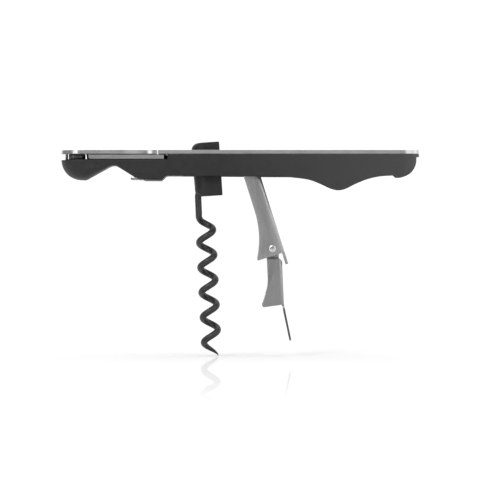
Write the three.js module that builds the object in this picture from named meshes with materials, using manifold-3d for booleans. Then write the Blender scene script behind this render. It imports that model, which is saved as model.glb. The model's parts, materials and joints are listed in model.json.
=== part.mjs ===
import * as THREE from 'three';
import { mergeVertices } from 'three/addons/utils/BufferGeometryUtils.js';
import Module from 'manifold-3d';

// A folding two-stage lever corkscrew, in millimetres. X runs along the handle towards the
// grip, Y runs across it towards the back, and Z is up. The origin is on the top plate's
// upper face, straight above the lever pin. The worm and the levers hang open below.

const wasm = await Module();
wasm.setup();

const degrees = THREE.MathUtils.degToRad;

// Driving dimensions
const HANDLE_LEFT = -71;
const HANDLE_RIGHT = 65;
const HALF_WIDTH = 8.5;
const BODY_TOP = -1.6;
const BELOW_ALL = -30;
const SEAM = 0.05;
const EDGE_CHAMFER = 0.6;

const BULB = { x: -62.3, z: -2.9, r: 8.55 };
const GRIP_END = { x: 57.2, z: -3.72, r: 6.65, planRadius: 6.5 };
const FLANGE_BOTTOM = -2.55;

const CHANNEL = { left: -24.9, right: 58.3, halfWidth: 7.4, mouthHalfWidth: 5.3 };
const PLATE = { top: 0, bottom: -1.5, halfWidth: 8.2, slotRight: -2.4, slotHalfWidth: 5.3 };
const LINER = { inner: 6.5, outer: 7.3, left: -30.2, right: 58 };
const LINER_TABS = [-28, 18, 50];
const TAB_LENGTH = 3;

const KNIFE_PIVOT_X = -65.5;
const KNIFE_SLOT = { right: -30.4, floor: -3.75, rearWallLeft: -60, rearWallY: 6.6 };
const ARM = { reach: 31.0, gap: 0.45 };
const BLADE = { top: -1.8, bottom: -3.35, tangRadius: 3.9, reach: 34.6, spineY: -5.5 };

const WORM_PIN = { x: -15.62, z: -5.2 };
const LEVER_PIN = { x: 0, z: -4.9 };
const PIN_RADIUS = 1.75;
const PIN_HOLE_RADIUS = 1.9;
const PIN_HALF_LENGTH = 7.9;

const CARRIER = {
  face: 5.2, halfWidth: 4.8, above: 8.2, below: 12.2, tilt: degrees(3.8), bore: 2.0, cornerRadius: 3.4,
};
const WORM = {
  wireRadius: 1.25, coilRadius: 2.55, pitch: 9.5, end: 72.15, pointLength: 4, tilt: degrees(2.7),
  axisX: -1.45, coilStart: 20.3, bendLength: 5, hookStart: 6.5, hookEnd: 12.5,
};
const UPPER = {
  tilt: degrees(17.6), halfDepth: 3.05, inner: 5.0, outer: 6.0, sheet: 1.0,
  footX: -8.0, footZ: -36.4, tabZ: -41.0, curveStart: -18, curveRadius: 36,
};
const JOINT = { x: -1.0, z: -33.8, relativeTilt: degrees(-15), rivetRadius: 0.8, holeRadius: 0.95 };
const LOWER = {
  back: 3.45, front: -2.25, inner: 4.05, outer: 4.85, sheet: 0.8, footZ: -21.6,
  headRadius: 2.6, tailHalfWidth: 4.5,
};

const BLADE_RIVETS = [9, 15];
const SHELL_SCREWS = {
  shell_screw_bulb: { x: -58.5, z: -7.0 },
  shell_screw_middle: { x: -27.9, z: -6.0 },
};
const SCREW = { shaft: 1.1, head: 2.0, clearance: 0.2, seatY: 7.4, headTop: 8.35, tipY: -5.5 };
const NUT = { bottom: -9.3, top: -7.0, radius: 3.18, clearance: 0.2 };
const LIFTER = { left: -44.4, mouth: -39.5, right: -34.5, bottom: -11.25, top: -10.5 };

// Materials
const metal = (color, roughness) =>
  new THREE.MeshStandardMaterial({ color, roughness, metalness: 1 });
const BLACK_PLASTIC = new THREE.MeshStandardMaterial({ color: 0x353837, roughness: 0.55, metalness: 0 });
const BLACK_COATING = new THREE.MeshStandardMaterial({ color: 0x2e3030, roughness: 0.4, metalness: 0.3 });
const SATIN_STEEL = metal(0x9a9b9b, 0.35);
const BRIGHT_STEEL = metal(0xb9babc, 0.18);
const NYLON = new THREE.MeshStandardMaterial({ color: 0xd9d7cf, roughness: 0.6, metalness: 0 });

// Solids: boolean joins and cuts
function toSolid(geometry) {
  const bare = geometry.clone();
  bare.deleteAttribute('normal');
  bare.deleteAttribute('uv');
  const merged = mergeVertices(bare, 1e-4);
  return new wasm.Manifold(new wasm.Mesh({
    numProp: 3,
    vertProperties: new Float32Array(merged.attributes.position.array),
    triVerts: new Uint32Array(merged.index.array),
  }));
}

function toGeometry(solid) {
  const mesh = solid.getMesh();
  const geometry = new THREE.BufferGeometry();
  geometry.setAttribute('position', new THREE.BufferAttribute(mesh.vertProperties, 3));
  geometry.setIndex(new THREE.BufferAttribute(mesh.triVerts, 1));
  geometry.computeVertexNormals();
  return geometry;
}

const joined = (...solids) => solids.reduce((sum, solid) => sum.add(solid));
const cut = (solid, ...tools) => tools.reduce((rest, tool) => rest.subtract(tool), solid);
const both = (make) => joined(make(1), make(-1));

function box(x0, x1, y0, y1, z0, z1) {
  const geometry = new THREE.BoxGeometry(x1 - x0, y1 - y0, z1 - z0);
  geometry.translate((x0 + x1) / 2, (y0 + y1) / 2, (z0 + z1) / 2);
  return toSolid(geometry);
}

// A side outline in X and Z, extruded across the handle from y0 to y1.
function extrudeAcross(shape, y0, y1, chamfer = 0, curveSegments = 6) {
  const geometry = new THREE.ExtrudeGeometry(shape, {
    depth: y1 - y0 - 2 * chamfer,
    bevelEnabled: chamfer > 0,
    bevelSize: chamfer,
    bevelThickness: chamfer,
    bevelOffset: -chamfer,
    bevelSegments: 1,
    curveSegments,
  });
  geometry.translate(0, 0, -y1 + chamfer);
  geometry.rotateX(Math.PI / 2);
  return toSolid(geometry);
}

// A plan outline in X and Y, extruded upwards from z0 to z1.
function extrudeUp(shape, z0, z1, curveSegments = 8) {
  const geometry = new THREE.ExtrudeGeometry(shape, { depth: z1 - z0, bevelEnabled: false, curveSegments });
  geometry.translate(0, 0, z0);
  return toSolid(geometry);
}

// A rod along Y through (x, z).
function rodAcross(r, y0, y1, x = 0, z = 0, sides = 24) {
  const geometry = new THREE.CylinderGeometry(r, r, y1 - y0, sides);
  geometry.translate(x, (y0 + y1) / 2, z);
  return toSolid(geometry);
}

// A rod along Z through (x, 0).
function rodUp(r, z0, z1, x = 0, sides = 24) {
  const geometry = new THREE.CylinderGeometry(r, r, z1 - z0, sides);
  geometry.rotateX(Math.PI / 2);
  geometry.translate(x, 0, (z0 + z1) / 2);
  return toSolid(geometry);
}

// A profile of [radius, height] pairs turned around the Y axis.
const turned = (profile, sides = 24) =>
  toSolid(new THREE.LatheGeometry(profile.map(([r, y]) => new THREE.Vector2(r, y)), sides));

// An outline from corners [x, y, radius], each rounded by its radius.
function roundedOutline(corners) {
  const shape = new THREE.Shape();
  corners.forEach(([x, y, radius = 0], i) => {
    const corner = new THREE.Vector2(x, y);
    const before = new THREE.Vector2(...corners.at(i - 1));
    const after = new THREE.Vector2(...corners[(i + 1) % corners.length]);
    const inward = before.sub(corner).normalize();
    const outward = after.sub(corner).normalize();
    const reach = radius / Math.tan(inward.angleTo(outward) / 2);
    const start = corner.clone().addScaledVector(inward, reach);
    const end = corner.clone().addScaledVector(outward, reach);
    if (i === 0) shape.moveTo(start.x, start.y);
    else shape.lineTo(start.x, start.y);
    if (radius > 0) shape.quadraticCurveTo(x, y, end.x, end.y);
  });
  shape.closePath();
  return shape;
}

// Handle shells
function handleSideOutline() {
  const top = BODY_TOP + EDGE_CHAMFER;
  const shape = new THREE.Shape();
  shape.moveTo(HANDLE_LEFT + 0.05, top);
  shape.lineTo(GRIP_END.x + GRIP_END.r, top);
  shape.absarc(GRIP_END.x, GRIP_END.z, GRIP_END.r, 0, -Math.PI / 2, true);
  shape.lineTo(56.1, -10.15);
  shape.lineTo(55.4, -9.45);
  shape.splineThru([
    [50.4, -9.8], [45.6, -10.9], [40.9, -12.8], [37.1, -14.65], [34.3, -15.1],
    [31.4, -14.4], [27.6, -12.65], [23.0, -11.0], [16.2, -10.12],
  ].map(([x, z]) => new THREE.Vector2(x, z)));
  shape.lineTo(-30.9, -9.86);
  shape.lineTo(-32.7, -11.6);
  shape.lineTo(-39.4, -11.6);
  shape.lineTo(-39.4, -10.4);
  shape.lineTo(-42.7, -10.4);
  shape.lineTo(-49.0, -6.6);
  shape.quadraticCurveTo(-49.9, -5.95, -50.8, -5.95);
  shape.quadraticCurveTo(-51.9, -5.95, -53.0, -6.6);
  shape.lineTo(-60.2, -10.8);
  shape.quadraticCurveTo(-61.2, -11.45, BULB.x, BULB.z - BULB.r);
  shape.absarc(BULB.x, BULB.z, BULB.r, -Math.PI / 2, -Math.PI, true);
  shape.closePath();
  return shape;
}

function handlePlanOutline(halfWidth) {
  const leftCentre = HANDLE_LEFT + halfWidth;
  const shape = new THREE.Shape();
  shape.moveTo(leftCentre, -halfWidth);
  shape.lineTo(HANDLE_RIGHT - GRIP_END.planRadius, -halfWidth);
  shape.absarc(HANDLE_RIGHT - GRIP_END.planRadius, GRIP_END.planRadius - halfWidth,
    GRIP_END.planRadius, -Math.PI / 2, 0, false);
  shape.absarc(HANDLE_RIGHT - GRIP_END.planRadius, halfWidth - GRIP_END.planRadius,
    GRIP_END.planRadius, 0, Math.PI / 2, false);
  shape.lineTo(leftCentre, halfWidth);
  shape.absarc(leftCentre, 0, halfWidth, Math.PI / 2, 3 * Math.PI / 2, false);
  return shape;
}

function handleBlank() {
  const side = extrudeAcross(handleSideOutline(), -HALF_WIDTH, HALF_WIDTH, EDGE_CHAMFER, 4);
  const flange = box(58, HANDLE_RIGHT + 1, -HALF_WIDTH, HALF_WIDTH, FLANGE_BOTTOM, BODY_TOP + 1);
  const plan = extrudeUp(handlePlanOutline(HALF_WIDTH), BELOW_ALL, BODY_TOP);
  return joined(side, flange).intersect(plan);
}

function handleCavities() {
  const { left, right, halfWidth, mouthHalfWidth } = CHANNEL;
  const channel = box(left, right, -halfWidth, halfWidth, BELOW_ALL, 0);
  const mouth = box(right - 1, HANDLE_RIGHT + 2, -mouthHalfWidth, mouthHalfWidth, BELOW_ALL, FLANGE_BOTTOM);
  const linerPockets = both((side) => {
    const edges = [side * (LINER.inner - 0.1), side * halfWidth].sort((a, b) => a - b);
    return box(LINER.left - 0.2, left + 1, ...edges, -8.9, 0);
  });
  const openSlot = box(HANDLE_LEFT - 1, KNIFE_SLOT.right, -10, KNIFE_SLOT.rearWallY, KNIFE_SLOT.floor, 0);
  const openEnd = box(HANDLE_LEFT - 1, KNIFE_SLOT.rearWallLeft, 0, 10, KNIFE_SLOT.floor, 0);
  const pivotBore = rodUp(1.75, -9.8, -3, KNIFE_PIVOT_X);
  const nutPocket = rodUp(NUT.radius + NUT.clearance, NUT.bottom - 0.15, NUT.top + 0.15, KNIFE_PIVOT_X, 6);
  const lifterPocket = box(-39.6, LIFTER.right + 0.2, -6.2, 6.2, LIFTER.bottom - 0.1, LIFTER.top + 0.1);
  const pinSockets = [WORM_PIN, LEVER_PIN].map(({ x, z }) => rodAcross(PIN_HOLE_RADIUS, -8, 8, x, z));
  const screwBores = Object.values(SHELL_SCREWS).flatMap(({ x, z }) => [
    rodAcross(SCREW.shaft + SCREW.clearance, SCREW.tipY - 0.3, SCREW.seatY, x, z),
    rodAcross(SCREW.head + SCREW.clearance, SCREW.seatY - 0.05, 9, x, z),
  ]);
  return [channel, mouth, linerPockets, openSlot, openEnd, pivotBore, nutPocket, lifterPocket,
    ...pinSockets, ...screwBores];
}

function shells() {
  const handle = cut(handleBlank(), ...handleCavities());
  const front = handle.intersect(box(-80, 80, -10, -SEAM, BELOW_ALL, 1));
  const rear = handle.intersect(box(-80, 80, SEAM, 10, BELOW_ALL, 1));
  return { front, rear };
}

// Chassis
function linerSolid(side) {
  const outline = roundedOutline([
    [LINER.left, BODY_TOP, 0], [LINER.right, BODY_TOP, 0], [LINER.right, -8.6, 2],
    [47, -9.2, 4], [38, -13.3, 3], [31, -13.2, 3], [22, -8.9, 4], [LINER.left, -8.7, 1.5],
  ]);
  const y = [side * LINER.inner, side * LINER.outer].sort((a, b) => a - b);
  const tabs = LINER_TABS.map((x) =>
    box(x - TAB_LENGTH / 2, x + TAB_LENGTH / 2, ...y, BODY_TOP - 1, PLATE.top - 0.05));
  const holes = [WORM_PIN, LEVER_PIN].map(({ x, z }) => rodAcross(PIN_HOLE_RADIUS, y[0] - 1, y[1] + 1, x, z));
  const { x, z } = SHELL_SCREWS.shell_screw_middle;
  const screwHole = rodAcross(SCREW.shaft + SCREW.clearance, y[0] - 1, y[1] + 1, x, z);
  return cut(joined(extrudeAcross(outline, ...y, 0, 4), ...tabs), ...holes, screwHole);
}

function plateSolid() {
  const { halfWidth, slotHalfWidth, slotRight } = PLATE;
  const left = KNIFE_PIVOT_X + ARM.reach + ARM.gap;
  const shape = new THREE.Shape();
  const endCentre = HANDLE_RIGHT - GRIP_END.planRadius;
  shape.moveTo(left, -halfWidth);
  shape.lineTo(endCentre, -halfWidth);
  shape.absarc(endCentre, GRIP_END.planRadius - halfWidth, GRIP_END.planRadius, -Math.PI / 2, 0, false);
  shape.absarc(endCentre, halfWidth - GRIP_END.planRadius, GRIP_END.planRadius, 0, Math.PI / 2, false);
  shape.lineTo(left, halfWidth);
  const slot = roundedOutline([
    [CHANNEL.left, -slotHalfWidth, 1], [slotRight, -slotHalfWidth, 1],
    [slotRight, slotHalfWidth, 1], [CHANNEL.left, slotHalfWidth, 1],
  ]);
  const tabSlots = both((side) => joined(...LINER_TABS.map((x) => {
    const y = [side * (LINER.inner - 0.1), side * (LINER.outer + 0.1)].sort((a, b) => a - b);
    return box(x - TAB_LENGTH / 2 - 0.1, x + TAB_LENGTH / 2 + 0.1, ...y, -2, 1);
  })));
  return cut(extrudeUp(shape, PLATE.bottom, PLATE.top), extrudeUp(slot, -3, 1), tabSlots);
}

const pinSolid = () => rodAcross(PIN_RADIUS, -PIN_HALF_LENGTH, PIN_HALF_LENGTH);

const sleeve = (outer, y0, y1) => turned([
  [PIN_HOLE_RADIUS, y0], [outer, y0], [outer, y1], [PIN_HOLE_RADIUS, y1], [PIN_HOLE_RADIUS, y0],
]);

function shellScrewSolid() {
  const { shaft, head, seatY, headTop, tipY } = SCREW;
  const turnedScrew = turned([
    [0, tipY], [shaft - 0.4, tipY], [shaft, tipY + 0.6], [shaft, seatY], [head, seatY],
    [head, headTop - 0.25], [head - 0.25, headTop], [0, headTop],
  ]);
  return cut(turnedScrew, rodAcross(1.1, headTop - 0.6, headTop + 1, 0, 0, 6));
}

function lifterSolid() {
  const { left, mouth, right, bottom, top } = LIFTER;
  const lip = roundedOutline([[left, -8, 1.5], [mouth, -8, 0], [mouth, 8, 0], [left, 8, 1.5]]);
  const tongue = roundedOutline([[mouth - 1, -6, 0], [right, -6, 1], [right, 6, 1], [mouth - 1, 6, 0]]);
  return joined(extrudeUp(lip, bottom, top), extrudeUp(tongue, bottom, top));
}

// Worm and its carrier
function carrierSolid() {
  const { face, halfWidth, above, below, bore, cornerRadius } = CARRIER;
  const section = new THREE.Shape();
  const flankX = halfWidth - face;
  section.moveTo(flankX, -halfWidth);
  section.lineTo(face - 0.5, -halfWidth);
  section.lineTo(face, 0.5 - halfWidth);
  section.lineTo(face, halfWidth - 0.5);
  section.lineTo(face - 0.5, halfWidth);
  section.lineTo(flankX, halfWidth);
  section.absarc(flankX, 0, halfWidth, Math.PI / 2, 3 * Math.PI / 2, false);
  const side = roundedOutline([
    [-face - 1, -below, 1.5], [face, -below, 0.8], [face, above, 0.6], [-face, above, cornerRadius],
    [-face - 1, 0, 0],
  ]);
  const block = extrudeUp(section, -below, above).intersect(extrudeAcross(side, -6, 6));
  const hook = new WireCurve(WORM.hookStart - 0.3, below + 1);
  const socket = sweptWire(hook, () => WORM.wireRadius + 0.15, 10, 16);
  socket.rotateY(CARRIER.tilt - WORM.tilt);
  return cut(block, toSolid(socket), rodAcross(bore, -6, 6));
}

// How thick the wire is at a depth below the pin: full, then thinning over the ground point.
function wireThickness(depth) {
  const toTip = Math.max(WORM.end - depth, 0) / WORM.pointLength;
  return toTip > 1 ? 1 : 0.12 + 0.88 * toTip ** 0.7;
}

// The worm's centreline between two depths below its pin. The wire starts hooked inside the
// carrier, runs straight down, and bends over a short length into the right-handed coil. Its
// point is ground from above, so the centreline sinks towards the wire's lower side there.
class WireCurve extends THREE.Curve {
  constructor(from, to) {
    super();
    this.from = from;
    this.to = to;
  }

  getPoint(t, target = new THREE.Vector3()) {
    const { wireRadius, coilRadius, pitch, axisX, coilStart, bendLength, hookEnd } = WORM;
    const depth = THREE.MathUtils.lerp(this.from, this.to, t);
    const bent = depth - (coilStart - bendLength / 2);
    const eased = bent < bendLength ? Math.max(bent, 0) ** 2 / (2 * bendLength) : bent - bendLength / 2;
    const sunk = 0.75 * wireRadius * (1 - wireThickness(depth));
    const climb = Math.atan2(pitch, 2 * Math.PI * coilRadius);
    const angle = (2 * Math.PI * eased) / pitch - (sunk * Math.sin(climb)) / coilRadius;
    const hook = 0.12 * Math.max(hookEnd - depth, 0) ** 2;
    return target.set(
      axisX + hook - coilRadius * Math.cos(angle),
      coilRadius * Math.sin(angle),
      -depth - sunk * Math.cos(climb),
    );
  }
}

// A round wire swept along a curve, closed at both ends. radiusOf gives its radius at a point.
function sweptWire(curve, radiusOf, steps, sides) {
  const frames = curve.computeFrenetFrames(steps, false);
  const positions = [];
  const index = [];
  for (let i = 0; i <= steps; i += 1) {
    const centre = curve.getPointAt(i / steps);
    for (let j = 0; j < sides; j += 1) {
      const angle = (j / sides) * 2 * Math.PI;
      const point = centre.clone()
        .addScaledVector(frames.normals[i], radiusOf(centre) * Math.cos(angle))
        .addScaledVector(frames.binormals[i], radiusOf(centre) * Math.sin(angle));
      positions.push(...point.toArray());
    }
  }
  for (let i = 0; i < steps; i += 1) {
    for (let j = 0; j < sides; j += 1) {
      const a = i * sides + j;
      const b = i * sides + ((j + 1) % sides);
      index.push(a, b, a + sides, b, b + sides, a + sides);
    }
  }
  const first = positions.length / 3;
  positions.push(...curve.getPointAt(0).toArray(), ...curve.getPointAt(1).toArray());
  for (let j = 0; j < sides; j += 1) {
    const next = (j + 1) % sides;
    index.push(first, next, j);
    index.push(first + 1, steps * sides + j, steps * sides + next);
  }
  const geometry = new THREE.BufferGeometry();
  geometry.setAttribute('position', new THREE.Float32BufferAttribute(positions, 3));
  geometry.setIndex(index);
  return geometry;
}

function wormSolid() {
  const wire = new WireCurve(WORM.hookStart, WORM.end);
  const radiusOf = (point) => WORM.wireRadius * wireThickness(-point.z);
  return toSolid(sweptWire(wire, radiusOf, 110, 10));
}

// Levers
function channelSection(back, outer, inner, sheet) {
  const outside = extrudeUp(roundedOutline([
    [-20, -outer, 0], [back, -outer, 1.3], [back, outer, 1.3], [-20, outer, 0],
  ]), -60, 20, 3);
  const inside = extrudeUp(roundedOutline([
    [-21, -inner, 0], [back - sheet, -inner, 0.4], [back - sheet, inner, 0.4], [-21, inner, 0],
  ]), -61, 21, 2);
  return cut(outside, inside);
}

function upperSideOutline() {
  const { halfDepth, sheet, footX, footZ, tabZ, curveStart, curveRadius } = UPPER;
  const curveEnd = -Math.asin((footZ + 0.6 - curveStart) / -curveRadius);
  const shape = new THREE.Shape();
  shape.moveTo(halfDepth, 0);
  shape.absarc(0, 0, halfDepth, 0, Math.PI, false);
  shape.lineTo(-halfDepth, curveStart);
  shape.absarc(-halfDepth - curveRadius, curveStart, curveRadius, 0, curveEnd, true);
  shape.lineTo(footX, footZ);
  shape.lineTo(halfDepth - sheet - 0.4, footZ);
  shape.quadraticCurveTo(halfDepth - sheet, footZ, halfDepth - sheet, footZ - 0.4);
  shape.lineTo(halfDepth - sheet, tabZ);
  shape.lineTo(halfDepth, tabZ);
  shape.closePath();
  return shape;
}

function upperLeverSolid() {
  const { halfDepth, inner, outer, sheet } = UPPER;
  const section = channelSection(halfDepth, outer, inner, sheet);
  const blank = extrudeAcross(upperSideOutline(), -outer, outer).intersect(section);
  const openHead = box(-5, 5, -inner, inner, -3, 5);
  const rivetHole = rodAcross(JOINT.holeRadius, -7, 7, JOINT.x, JOINT.z);
  return cut(blank, openHead, rodAcross(PIN_HOLE_RADIUS, -7, 7), rivetHole);
}

function rivetSolid(side) {
  const { outer } = UPPER;
  const { rivetRadius } = JOINT;
  const solid = turned([
    [0, LOWER.inner + 0.02], [rivetRadius, LOWER.inner + 0.02], [rivetRadius, outer + 0.02],
    [1.4, outer + 0.02], [1.3, outer + 0.16], [0.8, outer + 0.27], [0, outer + 0.3],
  ]);
  return side > 0 ? solid : solid.mirror([0, 1, 0]);
}

function lowerSideOutline() {
  const { back, front, footZ, headRadius } = LOWER;
  const shape = new THREE.Shape();
  shape.moveTo(headRadius, 0);
  shape.absarc(0, 0, headRadius, 0, Math.PI - 0.52, false);
  shape.lineTo(front, -10.8);
  shape.quadraticCurveTo(front, -14.4, -3.5, -17.3);
  shape.lineTo(-4.6, -20.0);
  shape.quadraticCurveTo(-5.1, footZ - 0.2, -3.9, footZ - 0.2);
  shape.lineTo(back, footZ + 0.2);
  shape.lineTo(back, -5.2);
  shape.quadraticCurveTo(2.3, -3.4, headRadius, 0);
  return shape;
}

function lowerLeverSolid() {
  const { back, inner, outer, sheet, tailHalfWidth } = LOWER;
  const section = channelSection(back, outer, inner, sheet);
  const head = box(-5, 5, -inner, inner, -5.4, 5);
  const sides = cut(extrudeAcross(lowerSideOutline(), -outer, outer).intersect(section), head);
  const tail = extrudeAcross(roundedOutline([
    [back - sheet, -20.6, 0], [back, -20.6, 0], [back, -21.6, 3], [5.68, -35.3, 0],
    [5.68 - sheet, -35.2, 0], [back - sheet, -21.7, 3],
  ]), -tailHalfWidth, tailHalfWidth, 0, 3);
  return cut(joined(sides, tail), rodAcross(JOINT.holeRadius, -6, 6));
}

// Knife, with its pivot at the local origin
function armSolid() {
  const { halfWidth, bottom, top } = PLATE;
  const leftCentre = HANDLE_LEFT + halfWidth - KNIFE_PIVOT_X;
  const corner = Math.asin(halfWidth / ARM.reach);
  const shape = new THREE.Shape();
  shape.moveTo(leftCentre, -halfWidth);
  shape.lineTo(18.5, -halfWidth);
  shape.quadraticCurveTo(24.5, 3 - halfWidth, 30.2, -halfWidth);
  shape.lineTo(ARM.reach, -halfWidth);
  shape.absarc(0, 0, ARM.reach, 0, corner, false);
  shape.lineTo(leftCentre, halfWidth);
  shape.absarc(leftCentre, 0, halfWidth, Math.PI / 2, 3 * Math.PI / 2, false);
  const sink = new THREE.CylinderGeometry(3.5, 1.7, 1.8, 24);
  sink.rotateX(Math.PI / 2);
  sink.translate(0, 0, -0.7);
  const rivetHoles = BLADE_RIVETS.map((x) => rodUp(1.25, -3, 1, x, 16));
  return cut(extrudeUp(shape, bottom, top, 6), toSolid(sink), rodUp(1.75, -3, 1), ...rivetHoles);
}

function bladeSolid() {
  const { top, bottom, tangRadius, reach, spineY } = BLADE;
  const tipAngle = Math.asin(spineY / reach);
  const shape = new THREE.Shape();
  shape.moveTo(3.4, -1.9);
  shape.lineTo(4.8, spineY);
  shape.lineTo(reach * Math.cos(tipAngle), spineY);
  shape.absarc(0, 0, reach, tipAngle, tipAngle + 0.06, false);
  shape.bezierCurveTo(31, 0.5, 27, 4.4, 20, 4.4);
  shape.lineTo(6, 4.4);
  shape.quadraticCurveTo(4.4, 4.2, 3.2, 2.2);
  shape.closePath();
  const tang = rodUp(tangRadius, bottom, top);
  const rivetHoles = BLADE_RIVETS.map((x) => rodUp(1.25, bottom - 1, top + 1, x, 16));
  return cut(joined(extrudeUp(shape, bottom, top, 6), tang), rodUp(1.75, -5, 0), ...rivetHoles);
}

const bladeRivetSolid = () => rodUp(1.1, BLADE.bottom + 0.02, PLATE.top - 0.02, 0, 16);

function pivotScrewSolid() {
  const turnedScrew = new THREE.LatheGeometry([
    [0, -9.6], [1.2, -9.6], [1.45, -9.3], [1.45, -1.55], [3.1, -0.15], [3.1, -0.03], [0, -0.03],
  ].map(([r, z]) => new THREE.Vector2(r, z)), 24);
  turnedScrew.rotateX(Math.PI / 2);
  return cut(toSolid(turnedScrew), rodUp(1.3, -0.9, 1, 0, 6));
}

const pivotNutSolid = () => cut(rodUp(NUT.radius, NUT.bottom, NUT.top, 0, 6), rodUp(1.6, -12, 0));
const pivotWasherSolid = () => cut(rodUp(3.6, -3.7, -3.45), rodUp(1.7, -5, 0));

// Assembly
function part(name, solid, material, x = 0, z = 0) {
  const mesh = new THREE.Mesh(toGeometry(solid), material);
  mesh.name = name;
  mesh.position.set(x, 0, z);
  return mesh;
}

function hung(x, z, tilt, ...children) {
  const group = new THREE.Group();
  group.position.set(x, 0, z);
  group.rotation.y = -tilt;
  group.add(...children);
  return group;
}

function handleGroup() {
  const { front, rear } = shells();
  const handle = new THREE.Group();
  handle.add(
    part('front_shell', front, BLACK_PLASTIC),
    part('rear_shell', rear, BLACK_PLASTIC),
    part('front_liner', linerSolid(-1), SATIN_STEEL),
    part('rear_liner', linerSolid(1), SATIN_STEEL),
    part('top_plate', plateSolid(), SATIN_STEEL),
    part('worm_pin', pinSolid(), BRIGHT_STEEL, WORM_PIN.x, WORM_PIN.z),
    part('worm_spacer_front', sleeve(2.7, -6.4, -4.9), NYLON, WORM_PIN.x, WORM_PIN.z),
    part('worm_spacer_rear', sleeve(2.7, 4.9, 6.4), NYLON, WORM_PIN.x, WORM_PIN.z),
    part('lever_pin', pinSolid(), BRIGHT_STEEL, LEVER_PIN.x, LEVER_PIN.z),
    part('lever_washer_front', sleeve(2.9, -6.4, -6.1), NYLON, LEVER_PIN.x, LEVER_PIN.z),
    part('lever_washer_rear', sleeve(2.9, 6.1, 6.4), NYLON, LEVER_PIN.x, LEVER_PIN.z),
    part('cap_lifter', lifterSolid(), SATIN_STEEL),
    part('knife_pivot_screw', pivotScrewSolid(), BRIGHT_STEEL, KNIFE_PIVOT_X),
    part('knife_pivot_nut', pivotNutSolid(), BRIGHT_STEEL, KNIFE_PIVOT_X),
    part('knife_washer', pivotWasherSolid(), NYLON, KNIFE_PIVOT_X),
  );
  for (const [name, { x, z }] of Object.entries(SHELL_SCREWS)) {
    handle.add(part(name, shellScrewSolid(), BRIGHT_STEEL, x, z));
  }
  return handle;
}

function wormGroup() {
  return hung(WORM_PIN.x, WORM_PIN.z, CARRIER.tilt,
    part('worm_carrier', carrierSolid(), BLACK_PLASTIC),
    hung(0, 0, WORM.tilt - CARRIER.tilt, part('worm', wormSolid(), BLACK_COATING)));
}

function leverGroup() {
  return hung(LEVER_PIN.x, LEVER_PIN.z, UPPER.tilt,
    part('upper_lever', upperLeverSolid(), SATIN_STEEL),
    part('joint_rivet_front', rivetSolid(-1), BRIGHT_STEEL, JOINT.x, JOINT.z),
    part('joint_rivet_rear', rivetSolid(1), BRIGHT_STEEL, JOINT.x, JOINT.z),
    hung(JOINT.x, JOINT.z, JOINT.relativeTilt, part('lower_lever', lowerLeverSolid(), SATIN_STEEL)));
}

function knifeGroup() {
  const [inner, outer] = BLADE_RIVETS;
  return hung(KNIFE_PIVOT_X, 0, 0,
    part('knife_arm', armSolid(), SATIN_STEEL),
    part('foil_blade', bladeSolid(), BRIGHT_STEEL),
    part('blade_rivet_inner', bladeRivetSolid(), BRIGHT_STEEL, inner),
    part('blade_rivet_outer', bladeRivetSolid(), BRIGHT_STEEL, outer));
}

const group = new THREE.Group();
group.add(handleGroup(), wormGroup(), leverGroup(), knifeGroup());

export default group;
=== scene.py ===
"""Looks of the two-stage lever corkscrew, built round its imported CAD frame."""

import json
import math

import bmesh
import bpy
from mathutils import Matrix, Vector


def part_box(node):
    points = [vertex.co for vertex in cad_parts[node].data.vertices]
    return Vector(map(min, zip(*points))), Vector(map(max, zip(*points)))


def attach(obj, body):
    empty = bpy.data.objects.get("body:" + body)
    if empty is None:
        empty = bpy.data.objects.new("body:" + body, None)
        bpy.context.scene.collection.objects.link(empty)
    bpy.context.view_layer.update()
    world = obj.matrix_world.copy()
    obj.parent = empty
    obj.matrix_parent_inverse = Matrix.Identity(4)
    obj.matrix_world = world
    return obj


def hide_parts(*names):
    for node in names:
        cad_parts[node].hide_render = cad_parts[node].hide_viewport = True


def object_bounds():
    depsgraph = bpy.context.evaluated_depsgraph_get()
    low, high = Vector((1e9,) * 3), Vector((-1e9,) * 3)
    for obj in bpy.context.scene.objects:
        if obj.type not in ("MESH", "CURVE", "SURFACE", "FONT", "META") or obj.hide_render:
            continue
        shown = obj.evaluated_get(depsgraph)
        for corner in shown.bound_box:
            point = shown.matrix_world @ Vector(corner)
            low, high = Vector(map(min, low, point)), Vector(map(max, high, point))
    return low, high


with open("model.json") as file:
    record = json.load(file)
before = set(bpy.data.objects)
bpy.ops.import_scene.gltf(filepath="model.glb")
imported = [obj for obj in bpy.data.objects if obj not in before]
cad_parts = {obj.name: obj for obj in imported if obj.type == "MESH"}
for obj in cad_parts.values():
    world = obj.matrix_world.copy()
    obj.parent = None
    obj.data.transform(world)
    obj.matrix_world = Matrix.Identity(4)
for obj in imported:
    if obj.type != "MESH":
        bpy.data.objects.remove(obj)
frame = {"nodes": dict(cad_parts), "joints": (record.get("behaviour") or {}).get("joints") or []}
cad_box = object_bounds()

MM = 0.001
scene = bpy.context.scene

# ---------------------------------------------------------------- anchors, in millimetres

JOINTS = {j["name"]: Vector(j["pos_m"]) / MM for j in frame["joints"]}
WORM_PIN = JOINTS["worm_fold"]
LEVER_PIN = JOINTS["lever_fold"]
ELBOW = JOINTS["lower_lever_fold"]
KNIFE_PIVOT = JOINTS["knife_swing"]

# how far the worm, its carrier and the two levers lean from upright
WORM_TILT = math.radians(2.7)
CARRIER_TILT = math.radians(3.8)
UPPER_TILT = math.radians(17.6)
LOWER_TILT = math.radians(2.6)


def box_mm(node):
    """The two corners of a CAD node's box in the rest pose."""
    low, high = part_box(node)
    return low / MM, high / MM


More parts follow.
